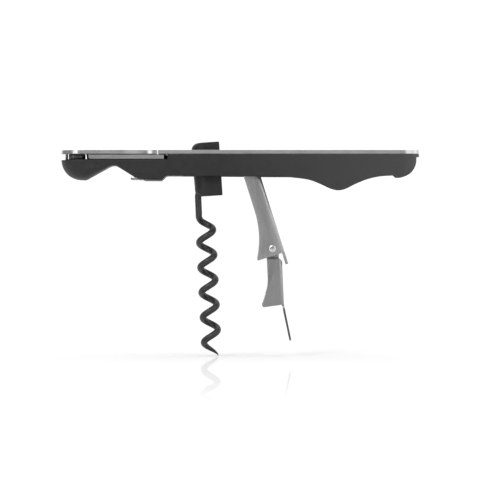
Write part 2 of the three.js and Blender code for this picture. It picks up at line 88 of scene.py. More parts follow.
HANDLE_HIGH = box_mm("rear_shell")[1]
PLATE_LOW, PLATE_HIGH = box_mm("top_plate")
LEFT = box_mm("knife_arm")[0].x
RIGHT = HANDLE_HIGH.x
HALF_WIDTH = HANDLE_HIGH.y
BODY_TOP = HANDLE_HIGH.z

# ---------------------------------------------------------------- curves and outlines


def arc(cx, cy, radius, start, end, steps, radius_y=None):
    """Points on an arc, from start to end in degrees."""
    ry = radius if radius_y is None else radius_y
    angles = [math.radians(start + (end - start) * i / steps) for i in range(steps + 1)]
    return [(cx + radius * math.cos(a), cy + ry * math.sin(a)) for a in angles]


def quadratic(p0, p1, p2, steps):
    """Points on a quadratic curve from p0 to p2, drawn towards p1."""
    points = []
    for i in range(steps + 1):
        t = i / steps
        weights = ((1 - t) ** 2, 2 * t * (1 - t), t * t)
        points.append(tuple(sum(w * p[k] for w, p in zip(weights, (p0, p1, p2))) for k in (0, 1)))
    return points


def cubic(p0, p1, p2, p3, steps):
    """Points on a cubic Bezier curve."""
    points = []
    for i in range(steps + 1):
        t = i / steps
        s = 1 - t
        weights = (s**3, 3 * s * s * t, 3 * s * t * t, t**3)
        points.append(tuple(sum(w * p[k] for w, p in zip(weights, (p0, p1, p2, p3))) for k in (0, 1)))
    return points


def spline(knots, steps):
    """Points on a Catmull-Rom curve through the knots."""
    padded = [knots[0], *knots, knots[-1]]
    points = []
    for a, b, c, d in zip(padded, padded[1:], padded[2:], padded[3:]):
        for i in range(steps):
            t = i / steps
            points.append(tuple(
                0.5 * (2 * b[k] + (c[k] - a[k]) * t + (2 * a[k] - 5 * b[k] + 4 * c[k] - d[k]) * t * t
                       + (3 * b[k] - a[k] - 3 * c[k] + d[k]) * t**3)
                for k in (0, 1)))
    return points + [knots[-1]]


def rounded(corners, steps=5):
    """A closed outline from corners (x, y, radius), each rounded off."""
    points = []
    for i, (x, y, radius) in enumerate(corners):
        here = Vector((x, y))
        inward = (Vector(corners[i - 1][:2]) - here).normalized()
        outward = (Vector(corners[(i + 1) % len(corners)][:2]) - here).normalized()
        if radius <= 0:
            points.append((x, y))
            continue
        reach = radius / math.tan(inward.angle(outward) / 2)
        points += quadratic(here + inward * reach, here, here + outward * reach, steps)
    return points


def smooth_step(value, low, high):
    """Eases from 0 at low to 1 at high."""
    t = min(max((value - low) / (high - low), 0.0), 1.0)
    return t * t * (3 - 2 * t)


def along(points, x):
    """The height of a polyline at x. Its points run from left to right."""
    for (xa, ya), (xb, yb) in zip(points, points[1:]):
        if xa <= x <= xb and xb > xa:
            return ya + (yb - ya) * (x - xa) / (xb - xa)
    return points[-1][1] if x > points[-1][0] else points[0][1]


# ---------------------------------------------------------------- meshes


# edges that turn by more than this many degrees stay sharp
SHARP = 32


def finish_mesh(mesh, sharp=SHARP):
    """Merges doubled points, turns faces outwards and shades smooth but for sharp edges."""
    shape = bmesh.new()
    shape.from_mesh(mesh)
    bmesh.ops.remove_doubles(shape, verts=shape.verts, dist=1e-7)
    bmesh.ops.dissolve_degenerate(shape, edges=shape.edges, dist=1e-7)
    bmesh.ops.recalc_face_normals(shape, faces=shape.faces)
    shape.to_mesh(mesh)
    shape.free()
    mesh.shade_smooth()
    mesh.set_sharp_from_angle(angle=math.radians(sharp))
    return mesh


def new_piece(name, points, faces, sharp=SHARP):
    """A mesh object from points in millimetres."""
    mesh = bpy.data.meshes.new(name)
    mesh.from_pydata([Vector(p) * MM for p in points], [], faces)
    finish_mesh(mesh, sharp)
    piece = bpy.data.objects.new(name, mesh)
    scene.collection.objects.link(piece)
    return piece


def applied(piece, sharp=SHARP):
    """Swaps the piece's mesh for what its modifiers make of it."""
    bpy.context.view_layer.update()
    graph = bpy.context.evaluated_depsgraph_get()
    mesh = bpy.data.meshes.new_from_object(piece.evaluated_get(graph), depsgraph=graph)
    piece.modifiers.clear()
    piece.data = finish_mesh(mesh, sharp)
    return piece


def carve(piece, *cutters, sharp=SHARP):
    """Cuts the cutters out of the piece and removes them."""
    for cutter in cutters:
        modifier = piece.modifiers.new("cut", "BOOLEAN")
        modifier.operation = "DIFFERENCE"
        modifier.solver = "EXACT"
        modifier.object = cutter
    applied(piece, sharp)
    for cutter in cutters:
        bpy.data.objects.remove(cutter)
    return piece


def bevelled(piece, width, angle):
    """Rounds the edges that turn by more than an angle."""
    modifier = piece.modifiers.new("edge", "BEVEL")
    modifier.width = width * MM
    modifier.segments = 2
    modifier.limit_method = "ANGLE"
    modifier.angle_limit = math.radians(angle)
    modifier.use_clamp_overlap = True
    return applied(piece)


def loft(name, sections, sharp=SHARP):
    """A closed skin through closed sections that all have the same number of points."""
    count = len(sections[0])
    points = [p for section in sections for p in section]
    faces = []
    for i in range(len(sections) - 1):
        for j in range(count):
            k = (j + 1) % count
            faces.append((i * count + j, i * count + k, (i + 1) * count + k, (i + 1) * count + j))
    last = (len(sections) - 1) * count
    faces.append(tuple(reversed(range(count))))
    faces.append(tuple(last + j for j in range(count)))
    return new_piece(name, points, faces, sharp)


AXES = {"x": (0, 1, 2), "y": (1, 0, 2), "z": (2, 0, 1)}


def lathe(name, profile, axis="y", at=(0, 0, 0), steps=48, sharp=SHARP):
    """A profile of (radius, height) turned round an axis.

    The profile starts and ends on the axis, or closes on itself.
    """
    up, side, front = AXES[axis]
    points = []
    for i in range(steps):
        angle = 2 * math.pi * i / steps
        for radius, height in profile:
            point = [0.0, 0.0, 0.0]
            point[up] = height + at[up]
            point[side] = radius * math.cos(angle) + at[side]
            point[front] = radius * math.sin(angle) + at[front]
            points.append(point)
    count = len(profile)
    on_axis = profile[0][0] == 0
    faces = []
    for i in range(steps):
        k = (i + 1) % steps
        for j in range(count - 1 if on_axis else count):
            m = (j + 1) % count
            faces.append((i * count + j, i * count + m, k * count + m, k * count + j))
    return new_piece(name, points, faces, sharp)


def sheet(name, outlines, bottom, top, edge=0.12, sharp=SHARP):
    """A flat plate from a closed outline and its holes, with its edges rounded off."""
    curve = bpy.data.curves.new(name, "CURVE")
    curve.dimensions = "2D"
    curve.fill_mode = "BOTH"
    curve.extrude = ((top - bottom) / 2 - edge) * MM
    curve.bevel_depth = edge * MM
    curve.bevel_resolution = 1
    curve.offset = -edge * MM
    for outline in outlines:
        line = curve.splines.new("POLY")
        line.points.add(len(outline) - 1)
        for point, (x, y) in zip(line.points, outline):
            point.co = (x * MM, y * MM, 0, 1)
        line.use_cyclic_u = True
    holder = bpy.data.objects.new(name, curve)
    scene.collection.objects.link(holder)
    bpy.context.view_layer.update()
    graph = bpy.context.evaluated_depsgraph_get()
    mesh = bpy.data.meshes.new_from_object(holder.evaluated_get(graph), depsgraph=graph)
    bpy.data.objects.remove(holder)
    mesh.transform(Matrix.Translation((0, 0, (top + bottom) / 2 * MM)))
    piece = bpy.data.objects.new(name, finish_mesh(mesh, sharp))
    scene.collection.objects.link(piece)
    return piece


def prism(name, outline, low, high, axis="z"):
    """A plain cutter: an outline pushed along an axis."""
    up, side, front = AXES[axis]
    rings = []
    for level in (low, high):
        ring = []
        for x, y in outline:
            point = [0.0, 0.0, 0.0]
            point[up], point[side], point[front] = level, x, y
            ring.append(point)
        rings.append(ring)
    return loft(name, rings)


def circle(radius, x=0.0, y=0.0, steps=48):
    return arc(x, y, radius, 0, 360, steps)[:-1]


def hang(piece, pin, tilt):
    """Turns a piece made round its own pin by a tilt and moves it to the pin."""
    matrix = Matrix.Translation(pin * MM) @ Matrix.Rotation(-tilt, 4, "Y")
    piece.data.transform(matrix)
    return piece


def place(piece, body, material, slot, *nodes):
    """Gives a piece its finish and its body, and says which CAD nodes it stands for."""
    piece.data.materials.clear()
    piece.data.materials.append(material)
    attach(piece, body)
    if nodes:
        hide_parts(*nodes)
    return piece


# ---------------------------------------------------------------- materials


class Nodes:
    """A short way to build one material's node tree."""

    def __init__(self, name):
        self.material = bpy.data.materials.new(name)
        self.material.use_nodes = True
        self.tree = self.material.node_tree
        self.shader = self.tree.nodes["Principled BSDF"]
        self.coordinates = self.add("ShaderNodeTexCoord").outputs["Object"]

    def add(self, kind, **settings):
        node = self.tree.nodes.new(kind)
        for key, value in settings.items():
            setattr(node, key, value)
        return node

    def link(self, output, target):
        self.tree.links.new(output, target)

    def space(self, stretch=(1, 1, 1), turn=0.0):
        """Object coordinates in millimetres, turned about Y and stretched."""
        mapping = self.add("ShaderNodeMapping", vector_type="POINT")
        mapping.inputs["Rotation"].default_value = (0, turn, 0)
        mapping.inputs["Scale"].default_value = tuple(s / MM for s in stretch)
        self.link(self.coordinates, mapping.inputs["Vector"])
        return mapping.outputs["Vector"]

    def axis(self, letter):
        """Object coordinates along one axis, in metres."""
        split = self.add("ShaderNodeSeparateXYZ")
        self.link(self.coordinates, split.inputs["Vector"])
        return split.outputs[letter]

    def calculate(self, operation, *values):
        node = self.add("ShaderNodeMath", operation=operation)
        for value, socket in zip(values, node.inputs):
            self.link(value, socket)
        return node.outputs["Value"]

    def noise(self, vector, scale, detail=3.0, roughness=0.55):
        node = self.add("ShaderNodeTexNoise")
        node.inputs["Scale"].default_value = scale
        node.inputs["Detail"].default_value = detail
        node.inputs["Roughness"].default_value = roughness
        self.link(vector, node.inputs["Vector"])
        return node.outputs["Fac"]

    def ramp(self, value, low, high, out_low, out_high):
        """Brings a value from the range low to high into out_low to out_high, and holds it there."""
        node = self.add("ShaderNodeMapRange")
        keys = ("From Min", "From Max", "To Min", "To Max")
        for key, number in zip(keys, (low, high, out_low, out_high)):
            node.inputs[key].default_value = number
        self.link(value, node.inputs["Value"])
        return node.outputs["Result"]

    def blend(self, value, first, second):
        """Mixes two colours, each a tuple or an output, by a value from 0 to 1."""
        node = self.add("ShaderNodeMix", data_type="RGBA")
        self.link(value, node.inputs["Factor"])
        colours = [s for s in node.inputs if s.type == "RGBA"]
        for socket, colour in zip(colours, (first, second)):
            if isinstance(colour, tuple):
                socket.default_value = (*colour, 1)
            else:
                self.link(colour, socket)
        return next(s for s in node.outputs if s.type == "RGBA")

    def band(self, top, bottom, half, strength):
        """A mask between two heights, for what lies further out than a half width."""
        fade, side_fade = 0.25 * MM, 0.1 * MM
        top, bottom, half = top * MM, bottom * MM, half * MM
        height = self.axis("Z")
        outward = self.calculate("ABSOLUTE", self.axis("Y"))
        below = self.ramp(height, top, top - fade, 0, 1)
        above = self.ramp(height, bottom, bottom + fade, 0, 1)
        outside = self.ramp(outward, half, half + side_fade, 0, strength)
        return self.calculate("MULTIPLY", below, self.calculate("MULTIPLY", above, outside))

    def bump(self, layers):
        """Bump from (height, strength, distance in mm) layers, each on top of the last."""
        normal = None
        for height, strength, distance in layers:
            node = self.add("ShaderNodeBump")
            node.inputs["Strength"].default_value = strength
            node.inputs["Distance"].default_value = distance * MM
            self.link(height, node.inputs["Height"])
            if normal is not None:
                self.link(normal, node.inputs["Normal"])
            normal = node.outputs["Normal"]
        self.link(normal, self.shader.inputs["Normal"])

    def set(self, **values):
        """Sets shader inputs; _ stands for a space in their names."""
        for key, value in values.items():
            self.shader.inputs[key.replace("_", " ")].default_value = value


def grey(level, tint=(1.0, 1.0, 1.0)):
    return tuple(level * t for t in tint)


def moulded_plastic(name, level, grain, painted_sheen=None):
    """Matt glass-filled plastic: a fine moulded grain, faint mottling and slightly rubbed patches.

    level is the base colour's grey. The last argument, if given, is (from, to, factor): a painted sheen;
    the plastic grows paler by that factor between two places along X, as light falling on that end would
    make it.
    """
    n = Nodes(name)
    where = n.space()
    mottle = n.noise(where, 0.35, 4.0)
    tint = (0.98, 1.03, 1.0)
    fine = n.noise(where, 4.5, 2.0, 0.6)
    dark, pale = grey(level * 0.86, tint), grey(level * 1.14, tint)
    base = n.blend(n.ramp(mottle, 0.35, 0.65, 0, 1), dark, pale)
    if painted_sheen:
        # painted sheen: the base colour grows paler along X
        start, end, factor = painted_sheen
        progress = n.ramp(n.axis("X"), start * MM, end * MM, 0, 1)
        base = n.blend(progress, base, grey(level * factor, (0.99, 1.0, 1.02)))
    speck = n.blend(n.ramp(fine, 0.45, 0.75, 0, 0.35), base, grey(level * 1.6, tint))
    n.link(speck, n.shader.inputs["Base Color"])
    rub = n.noise(where, 0.12, 3.0)
    n.link(n.ramp(rub, 0.3, 0.7, 0.52, 0.4), n.shader.inputs["Roughness"])
    n.bump([(n.noise(where, 3.2, 3.0, 0.6), grain, 0.03), (n.noise(where, 0.5, 2.0), 0.15, 0.05)])
    n.set(Specular_IOR_Level=0.3)
    return n.material


def steel(name, level, roughness, stretch, turn=0.0, streak=0.35, smudge=0.07, painted_shade_and_dark_edges=()):
    """Stainless steel: fine brush lines along one direction and cloudy wear.

    stretch scales the brush lines along X, Y and Z, turn leans them, and streak is their depth.
    smudge is how far the wear moves the roughness up and down.

    Each darker band in the last argument is (top, bottom, half width, strength): a darker stretch
    between two heights in millimetres, on what lies further out than that half width. Along the
    plate's lower edge and across the lower lever just below the upper lever's foot it is painted
    shade; lower down on both levers it darkens their edges.
    """
    n = Nodes(name)
    lines = n.noise(n.space(stretch, turn), 1.0, 5.0, 0.65)
    where = n.space()
    cloud = n.noise(where, 0.16, 4.0)
    tint = (1.0, 1.002, 1.0)
    dark, pale = grey(level * 0.92, tint), grey(level * 1.06, tint)
    base = n.blend(n.ramp(lines, 0.3, 0.7, 0, 1), dark, pale)
    colour = n.blend(n.ramp(cloud, 0.35, 0.7, 0, 0.35), base, grey(level * 0.84, tint))
    # darker bands: painted shade, and darker edges low on the levers
    for top, bottom, half, strength in painted_shade_and_dark_edges:
        colour = n.blend(n.band(top, bottom, half, strength), colour, grey(level * 0.1, tint))
    n.link(colour, n.shader.inputs["Base Color"])
    rough = n.ramp(cloud, 0.3, 0.7, roughness - smudge, roughness + smudge)
    n.link(rough, n.shader.inputs["Roughness"])
    n.bump([(lines, streak, 0.012), (n.noise(where, 0.9, 2.0), 0.05, 0.02)])
    n.set(Metallic=1.0)
    return n.material


def coated_wire(name):
    """Black non-stick coating on the worm: satin, a little orange peel and thin wear."""
    n = Nodes(name)
    where = n.space()
    wear = n.noise(where, 0.7, 4.0)
    dark, pale = grey(0.004, (1, 1.02, 1.02)), grey(0.008, (1, 1, 1.04))
    base = n.blend(n.ramp(wear, 0.4, 0.7, 0, 1), dark, pale)
    n.link(base, n.shader.inputs["Base Color"])
    n.link(n.ramp(wear, 0.3, 0.7, 0.4, 0.46), n.shader.inputs["Roughness"])
    n.bump([(n.noise(where, 0.5, 1.0), 0.04, 0.02)])
    n.set(IOR=1.5, Specular_IOR_Level=0.6)
    return n.material


def nylon(name):
    """Cloudy, off-white washer plastic."""
    n = Nodes(name)
    where = n.space()
    cloud = n.noise(where, 0.8, 3.0)
    n.link(n.blend(cloud, (0.6, 0.59, 0.54), (0.72, 0.71, 0.67)), n.shader.inputs["Base Color"])
    n.link(n.ramp(cloud, 0.3, 0.7, 0.5, 0.65), n.shader.inputs["Roughness"])
    n.bump([(n.noise(where, 5.0, 2.0), 0.2, 0.01)])
    return n.material


# the handle's plastic is painted paler from x = -10 to 60 mm: a painted sheen towards the grip end
BODY_PLASTIC = moulded_plastic("handle_plastic", 0.0125, 0.26, painted_sheen=(-10, 60, 3.3))
BLOCK_PLASTIC = moulded_plastic("carrier_plastic", 0.01, 0.22)
# the plate's band is painted shade along the lower edge of the plate and the knife arm
PLATE_STEEL = steel("plate_steel", 0.56, 0.22, (0.05, 6, 0.5), streak=0.08, smudge=0.04,
                    painted_shade_and_dark_edges=[(PLATE_LOW.z + 0.25, -9, -1, 0.8)])
# the upper lever's band darkens its lowest part
UPPER_STEEL = steel("upper_lever_steel", 0.335, 0.32, (3, 3, 0.12), UPPER_TILT, 0.2,
                    painted_shade_and_dark_edges=[(-42.6, -60, 4.3, 0.75)])
# the lower lever's first band is painted shadow just below the upper lever's foot; the second darkens its
# tail's edges
LOWER_STEEL = steel("lower_lever_steel", 0.285, 0.32, (3, 3, 0.12), LOWER_TILT, 0.2,
                    painted_shade_and_dark_edges=[(-40.3, -41.5, 4.0, 0.6), (-59.6, -90, 4.1, 0.6)])
LINER_STEEL = steel("liner_steel", 0.42, 0.4, (0.3, 3, 3), streak=0.15)
LIFTER_STEEL = steel("lifter_steel", 0.24, 0.4, (0.1, 4, 4), streak=0.15)
# darker steel for the knife's boss and stop pin; on the lifter's sole it is painted shade
DARK_STEEL_AND_PAINTED_SHADE = steel("dark_steel_and_painted_shade", 0.11, 0.3, (2, 2, 2), streak=0.1)
RIVET_STEEL = steel("rivet_steel", 0.6, 0.24, (2, 2, 2), streak=0.08, smudge=0.04)
BLADE_STEEL = steel("blade_steel", 0.54, 0.22, (4, 0.2, 0.5), streak=0.15, smudge=0.05)
CHROME = steel("polished_steel", 0.66, 0.12, (1, 1, 1), streak=0.05, smudge=0.04)
WIRE = coated_wire("worm_coating")
WASHER = nylon("washer_nylon")

# ---------------------------------------------------------------- handle shells

# half the seam between the shells, and how far from a step in the walls the sections beside it lie
SEAM, RUN = 0.05, 0.02
# the bulb at the knife end, the lobe at the grip end and the grip end's corner seen from above
BULB_X, BULB_Z, BULB_R = -62.45, -2.9, 8.55
BULB_FULLNESS, BULB_END = 0.909, -51.5
LOBE_X, LOBE_Z, LOBE_R, PLAN_R = 57.2, -3.72, 6.65, 6.5
# the worm's channel, its flange, its mouth in the grip end and the blade's slot
FLANGE = -2.55
CHANNEL_LEFT, CHANNEL_RIGHT = -24.9, 58.3
CHANNEL_Y, MOUTH_Y = 7.4, 5.3
SLOT_RIGHT, SLOT_FLOOR = -30.4, -3.75
REAR_WALL_LEFT, REAR_WALL_Y, REAR_WALL_RISE = -60.0, 6.6, 1.4
SILL_LEFT, SILL, SILL_Y = -69.3, 0.3, 7.4
SHELL_SHARP = 35
# radii: the knife pivot's hole, a cross pin, holes that turn on it, and the carrier's bore
PIVOT_HOLE, PIN_R, PIN_HOLE, PIN_CLEAR = 1.75, 1.75, 1.9, 2.0


def bottom_line():
    """The handle's lower edge from the bulb to the lobe under the grip end."""
    line = []
    steps = 28
    for i in range(steps + 1):
        turn = math.radians(7 + 79 * i / steps)
        line.append((BULB_X - BULB_R * math.cos(turn) ** BULB_FULLNESS,
                     BULB_Z - BULB_R * math.sin(turn) ** BULB_FULLNESS))
    line += quadratic((-61.7, -11.45), (-61.3, -11.45), (-60.9, -11.21), 4)
    line += [(-60.2, -10.8), (-58.4, -9.75), (-56.6, -8.7), (-54.8, -7.65)]
    line += quadratic((-53.2, -6.72), (-51.9, -5.95), (-50.9, -5.95), 6)
    line += quadratic((-50.5, -5.95), (-50.0, -5.95), (-49.5, -6.27), 5)
    line += [(-47.0, -7.8), (-44.9, -9.1), (-43.1, -10.22), (-41.9, -10.98)]
    line += quadratic((-41.75, -11.08), (-41.4, -11.28), (-40.9, -11.3), 4)
    line += [(-39.6, -11.32)]
    line += quadratic((-39.45, -11.33), (-39.4, -11.6), (-39.1, -11.6), 3)
    line += quadratic((-33.1, -11.6), (-32.7, -11.6), (-32.3, -11.2), 3)
    line += quadratic((-31.3, -10.25), (-30.9, -9.86), (-30.3, -9.86), 4)
    line += [(x, -9.86 - 0.26 * smooth_step(x, -24, 16.2)) for x in (-27, -20, -12, -4, 4, 10)]
    line += spline([
        (16.2, -10.12), (23.0, -11.0), (27.6, -12.65), (31.4, -14.4), (34.3, -15.1),
        (37.1, -14.65), (40.9, -12.8), (45.6, -10.9), (50.4, -9.8), (55.2, -9.47),
    ], 5)
    line += [(55.45, -9.5), (55.75, -9.8)]
    line += arc(LOBE_X, LOBE_Z, LOBE_R, 262, 360, 20)
    return line


def half_width(x):
    """Half the handle's width at x, seen from above."""
    plan_left = LEFT + HALF_WIDTH
    plan_right = RIGHT - PLAN_R
    if x < plan_left:
        return math.sqrt(max(HALF_WIDTH**2 - (plan_left - x) ** 2, 0.01))
    if x > plan_right:
        return HALF_WIDTH - PLAN_R + math.sqrt(max(PLAN_R**2 - (x - plan_right) ** 2, 0.0))
    return HALF_WIDTH


def shell_section(x, bottom, rear):
    """One cross-section of a half shell, in Y and Z, for the side with Y above zero.

    The outer wall ends at wall_top. Inside it a ledge at the height of the sill runs out to step.
    The flange parts the inner face above it, at inner, from the one below it, at foot.
    """
    width = half_width(x)
    top = SLOT_FLOOR if x < SLOT_RIGHT else BODY_TOP
    wall_top = top
    step = SEAM + 0.2 * (width - SEAM)
    sill = top
    if not rear and SILL_LEFT < x < SLOT_RIGHT:
        sill = top + SILL
        step = min(SILL_Y, 0.85 * width)
    if rear and SILL_LEFT < x < SLOT_RIGHT:
        rise = smooth_step(x, REAR_WALL_LEFT, REAR_WALL_LEFT + REAR_WALL_RISE)
        wall_top = SLOT_FLOOR + max((BODY_TOP - SLOT_FLOOR) * rise, SILL)
        step = min(REAR_WALL_Y, 0.8 * width)
    if CHANNEL_LEFT < x < CHANNEL_RIGHT:
        inner = foot = CHANNEL_Y
        step = inner + 0.15
        flange = FLANGE
    elif x >= CHANNEL_RIGHT:
        inner, foot, flange = SEAM, min(MOUTH_Y, width - 0.1), FLANGE
        bottom = min(bottom, FLANGE - 0.002)
    else:
        inner = foot = SEAM
        flange = (top + bottom) / 2
    # the lower corner is a small round along the handle and a whole quarter at the bulb
    ball = 1 - smooth_step(x, BULB_X, BULB_END)
    room = min(width - foot, wall_top - bottom)
    corner = min(1.25 if x < CHANNEL_LEFT else 0.75, 0.62 * room)
    corner_y = corner + (width - corner) * ball
    corner_z = corner + (max(BULB_Z - bottom, corner) - corner) * ball
    centre_y, centre_z = width - corner_y, bottom + corner_z
    lip = min(0.3, 0.3 * room)
    inner_lip = min(0.15, 0.2 * room)

    def side_at(z):
        if z >= centre_z:
            return width
        return centre_y + corner_y * math.sqrt(max(1 - ((z - centre_z) / corner_z) ** 2, 0.0))

    sill_foot = inner + 0.8 * (step - inner)
    points = [(inner, top), (sill_foot, top), (sill_foot, sill), (step, sill), (step, wall_top)]
    points += quadratic((side_at(wall_top) - lip, wall_top), (side_at(wall_top), wall_top),
                        (side_at(wall_top - lip), wall_top - lip), 4)
    low_start = min(wall_top - lip - 1e-3, centre_z)
    first = -math.degrees(math.asin(min(max((centre_z - low_start) / corner_z, 0.0), 1.0)))
    points += arc(centre_y, centre_z, corner_y, first, -90, 12, corner_z)
    points += quadratic((foot + inner_lip, bottom), (foot, bottom), (foot, bottom + inner_lip), 3)
    points += [(foot, max(flange, bottom + inner_lip)), (inner, max(flange, bottom + inner_lip))]
    return points


def handle_shell(name, side):
    """A half shell: sections at the lower edge's own points and close to each step in its walls."""
    line = bottom_line()
    stops = list(line)
    for wall in (SLOT_RIGHT, CHANNEL_LEFT, CHANNEL_RIGHT, SILL_LEFT):
        stops += [(wall - RUN, along(line, wall - RUN)), (wall + RUN, along(line, wall + RUN))]
    rise = [REAR_WALL_LEFT + step for step in (0, 0.3, 0.7, 1.1, REAR_WALL_RISE)]
    stops += [(x, along(line, x)) for x in rise]
    end = line[-1][0]
    stops += [(x, FLANGE) for x in (end + RUN, end + 0.4, end + 0.8, RIGHT - 0.12, RIGHT - 0.01)]
    stops.sort(key=lambda stop: stop[0])
    kept = [stops[0]]
    for stop in stops[1:]:
        if stop[0] - kept[-1][0] > 1e-3:
            kept.append(stop)
    sections = []
    for x, bottom in kept:
        if bottom > SLOT_FLOOR - 0.2 and x < BULB_X:
            continue
        sections.append([(x, side * y, z) for y, z in shell_section(x, bottom, side > 0)])
    return loft(name, sections, SHELL_SHARP)


front_shell = handle_shell("front_handle_shell", -1)
rear_shell = handle_shell("rear_handle_shell", 1)

for head in ("shell_screw_bulb", "shell_screw_middle"):
    low, high = box_mm(head)
    centre = (low + high) / 2
    screw_at = (centre.x, 0, centre.z)
    bore = prism("bore", circle(2.25, centre.x, centre.z), 7.35, 9, "y")
    carve(rear_shell, bore, sharp=SHELL_SHARP)
    rim = quadratic((2.0, 8.1), (2.0, 8.36), (1.7, 8.36), 4)
    profile = [(0, 7.45), (1.95, 7.45), *rim, (0, 8.36)]
    screw = lathe(head + "_head", profile, "y", screw_at)
    carve(screw, prism("hex", circle(1.1, centre.x, centre.z, 6), 7.7, 9, "y"))
    profile = [(0, low.y), (0.8, low.y), (1.1, low.y + 0.5), (1.1, 7.4), (0, 7.4)]
    shaft = lathe(head + "_shaft", profile, "y", screw_at)
    place(screw, "handle", CHROME, "bright_steel", head)
    place(shaft, "handle", CHROME, "bright_steel", head)

pivot_hole = circle(PIVOT_HOLE, KNIFE_PIVOT.x, 0)
for shell in (front_shell, rear_shell):
    carve(shell, prism("bore", pivot_hole, -9.8, 0, "z"), sharp=SHELL_SHARP)
place(front_shell, "handle", BODY_PLASTIC, "black_plastic", "front_shell")
place(rear_shell, "handle", BODY_PLASTIC, "black_plastic", "rear_shell")

# ---------------------------------------------------------------- top plate, cap lifter

PLATE_HALF = PLATE_HIGH.y
PLATE_TOP, PLATE_BOTTOM = PLATE_HIGH.z, PLATE_LOW.z
PLATE_EDGE, PLATE_SHARP = 0.06, 15
# the arm's end is an arc of this radius round the knife's pivot, and the plate starts beyond a gap
ARM_REACH, ARM_GAP = 31.0, 0.45


def rectangle(x0, x1, y0, y1, radius):
    return rounded([(x0, y0, radius), (x1, y0, radius), (x1, y1, radius), (x0, y1, radius)], 4)


def plate_outline():
    left = KNIFE_PIVOT.x + ARM_REACH + ARM_GAP
    end = RIGHT - PLAN_R
    outline = arc(end, PLAN_R - PLATE_HALF, PLAN_R, -90, 0, 14)
    outline += arc(end, PLATE_HALF - PLAN_R, PLAN_R, 0, 90, 14)
    return outline + [(left, PLATE_HALF), (left, -PLATE_HALF)]


tab_slots = []
for liner in ("front_liner", "rear_liner"):
    low, high = box_mm(liner)
    for x in (-28, 18, 50):
        tab_slots.append(rectangle(x - 1.6, x + 1.6, low.y - 0.1, high.y + 0.1, 0.2))
carrier_slot = rectangle(-24.9, -2.4, -5.3, 5.3, 1.2)
plate = sheet("handle_top_plate", [plate_outline(), carrier_slot, *tab_slots],
              PLATE_BOTTOM, PLATE_TOP, PLATE_EDGE, PLATE_SHARP)
place(plate, "handle", PLATE_STEEL, "satin_steel", "top_plate")

LIFT_LOW, LIFT_HIGH = box_mm("cap_lifter")
LIP_SHOULDER = -39.0
half_lip = [(LIFT_LOW.x, -8, 1.6), (LIP_SHOULDER, -8, 0.3), (LIP_SHOULDER, -6, 0.2),
            (LIFT_HIGH.x, -6, 1)]
lip = rounded(half_lip + [(x, -y, radius) for x, y, radius in reversed(half_lip)], 6)
lifter = sheet("cap_lifter_lip", [lip], LIFT_LOW.z, LIFT_HIGH.z, 0.12)
place(lifter, "handle", LIFTER_STEEL, "satin_steel", "cap_lifter")
# the lifter's sole: the lip's steel drawn darker, as painted shade under the handle
sole = sheet("cap_lifter_sole", [rectangle(-39.2, -32.5, -8.4, 8.4, 0.8)], -11.7, -11.2, 0.1)
place(sole, "handle", DARK_STEEL_AND_PAINTED_SHADE, "satin_steel")

# ---------------------------------------------------------------- pins, spacers, pivot


def rod(name, radius, node, material, slot, hole=0.0, edge=0.12):
    """A turned pin or ring in place of a plain CAD one that lies along Y."""
    low, high = box_mm(node)
    centre = (low + high) / 2
    y0, y1 = low.y, high.y
    outside = [(radius - edge, y0), (radius, y0 + edge), (radius, y1 - edge), (radius - edge, y1)]
    profile = [(hole, y0), *outside, (hole, y1)]
    place(lathe(name, profile, "y", (centre.x, 0, centre.z)), "handle", material, slot, node)


for part in ("worm", "lever"):
    rod(part + "_pivot_pin", PIN_R, part + "_pin", CHROME, "bright_steel")
for part, radius, edge in (("worm_spacer", 2.7, 0.12), ("lever_washer", 2.9, 0.05)):
    for side in ("front", "rear"):
        rod(f"{part}_ring_{side}", radius, f"{part}_{side}", WASHER, "nylon", PIN_HOLE, edge)

pivot_at = (KNIFE_PIVOT.x, 0, 0)
profile = [(0, -9.6), (1.2, -9.6), (1.45, -9.3), (1.45, -1.6), (3.0, -0.2), (3.08, -0.1),
           (3.0, -0.03), (0, -0.03)]
pivot = lathe("knife_pivot_head", profile, "z", pivot_at)
carve(pivot, prism("hex", circle(1.3, KNIFE_PIVOT.x, 0, 6), -0.95, 1, "z"))
place(pivot, "handle", CHROME, "bright_steel", "knife_pivot_screw")
profile = [(1.7, -3.7), (3.55, -3.7), (3.6, -3.65), (3.6, -3.5), (3.55, -3.45), (1.7, -3.45)]
washer = lathe("knife_pivot_washer", profile, "z", pivot_at)
place(washer, "handle", WASHER, "nylon", "knife_washer")

# ---------------------------------------------------------------- knife


def arm_outline():
    """A round left end, a thumb scallop in the front edge, and an arc round the pivot."""
    angle = math.degrees(math.asin(PLATE_HALF / ARM_REACH))
    left = LEFT + PLATE_HALF
    x = KNIFE_PIVOT.x
    outline = arc(left, 0, PLATE_HALF, 90, 270, 40)
    outline += [(x + 17.6, -PLATE_HALF)]
    outline += cubic((x + 18.5, -PLATE_HALF), (x + 24.0, 1.0 - PLATE_HALF),
                     (x + 26.6, 2.4 - PLATE_HALF), (x + 30.2, -PLATE_HALF), 18)
    outline += [(x + ARM_REACH, -PLATE_HALF)]
    return outline + arc(x, 0, ARM_REACH, 0, angle, 10)


RIVET_NAMES = ("blade_rivet_inner", "blade_rivet_outer")
RIVETS = [(box_mm(name)[0].x + box_mm(name)[1].x) / 2 for name in RIVET_NAMES]
rivet_holes = [circle(1.2, x, 0, 24) for x in RIVETS]
arm = sheet("knife_carrier_arm", [arm_outline(), pivot_hole, *rivet_holes],
            PLATE_BOTTOM, PLATE_TOP, PLATE_EDGE, PLATE_SHARP)
sink = lathe("sink", [(0, -1.7), (1.5, -1.7), (3.6, 0.15), (0, 0.15)], "z", pivot_at)
carve(arm, sink, sharp=PLATE_SHARP)
place(arm, "knife", PLATE_STEEL, "satin_steel", "knife_arm")

